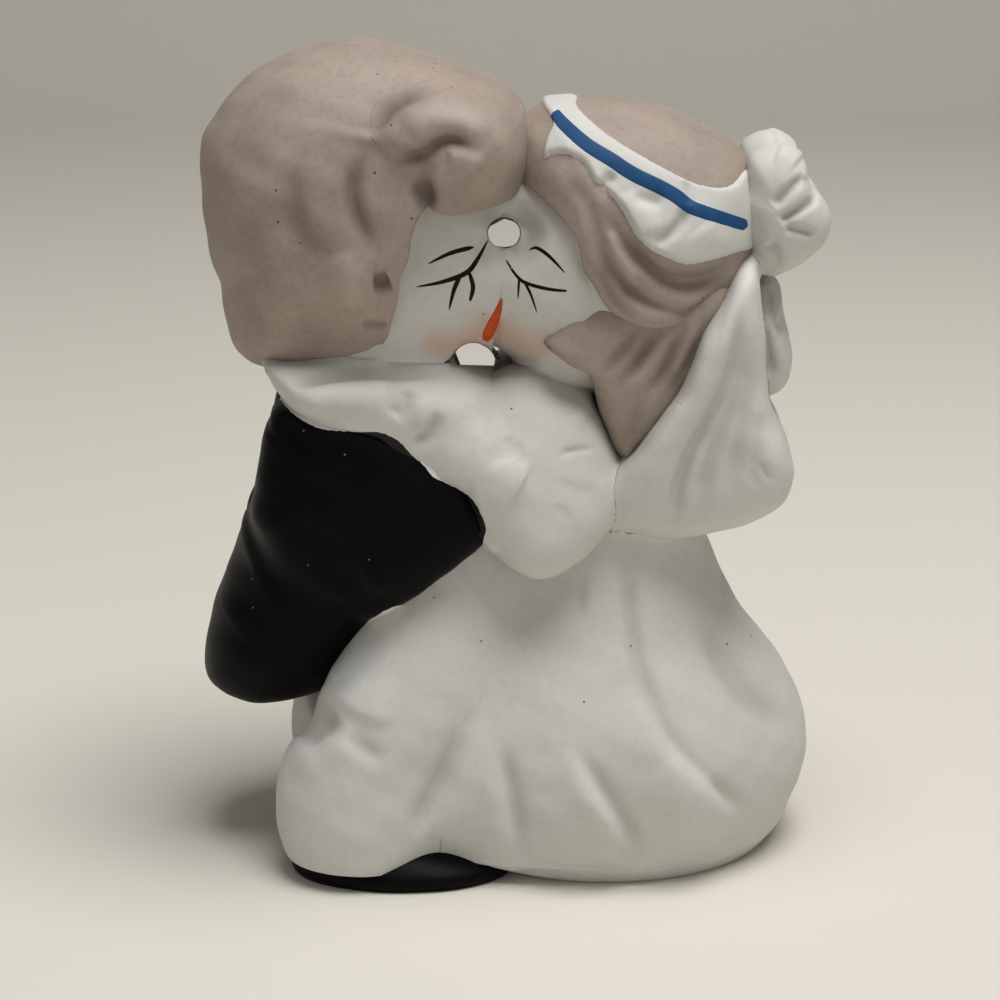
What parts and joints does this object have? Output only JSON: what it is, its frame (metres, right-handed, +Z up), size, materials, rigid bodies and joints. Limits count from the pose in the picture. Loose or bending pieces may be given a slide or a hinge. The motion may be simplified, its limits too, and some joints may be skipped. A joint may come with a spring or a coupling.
{
  "type": "wedding cake topper",
  "caption": "Bisque porcelain bride and groom kissing, with painted hair, black coat, veil and bow, standing on a flat foot as a cake topper.",
  "frame": {"origin": "on the cake, under the middle of the figure's bounding box", "axes": "+Z up, +X from the groom towards the bride, +Y away from the front"},
  "size_m": [0.0824, 0.0498, 0.1074],
  "materials": {
    "bisque": "matt unglazed bisque porcelain",
    "hair_paint": "matt fired taupe brown stain",
    "black_enamel": "satin black enamel",
    "blue_enamel": "brushed blue enamel line",
    "face_paint": "fine brushed lashes, brows and lips"
  },
  "bodies": {
    "root": {"groom_head": "bisque", "bride_head": "bisque", "groom_fringe": "hair_paint", "groom_hair": "hair_paint", "bride_hair": "hair_paint", "headband": "bisque", "bow_knot": "bisque", "bow_loop_front": "bisque", "bow_loop_back": "bisque", "groom_hand_front": "bisque", "bride_hand_front": "bisque", "bride_sleeve_front": "bisque", "groom_hand_back": "bisque", "bride_hand_back": "bisque", "bride_sleeve_back": "bisque", "groom_collar": "bisque", "coat_sleeve_front": "black_enamel", "coat_sleeve_back": "black_enamel", "coat_tail": "black_enamel", "coat_body": "black_enamel", "bride_long_hair": "hair_paint", "bow_tail": "bisque", "veil": "bisque", "bride_bodice": "bisque", "trouser_leg_front": "bisque", "shoe_front": "black_enamel", "trouser_leg_back": "bisque", "shoe_back": "black_enamel", "skirt": "bisque"}
  },
  "joints": []
}
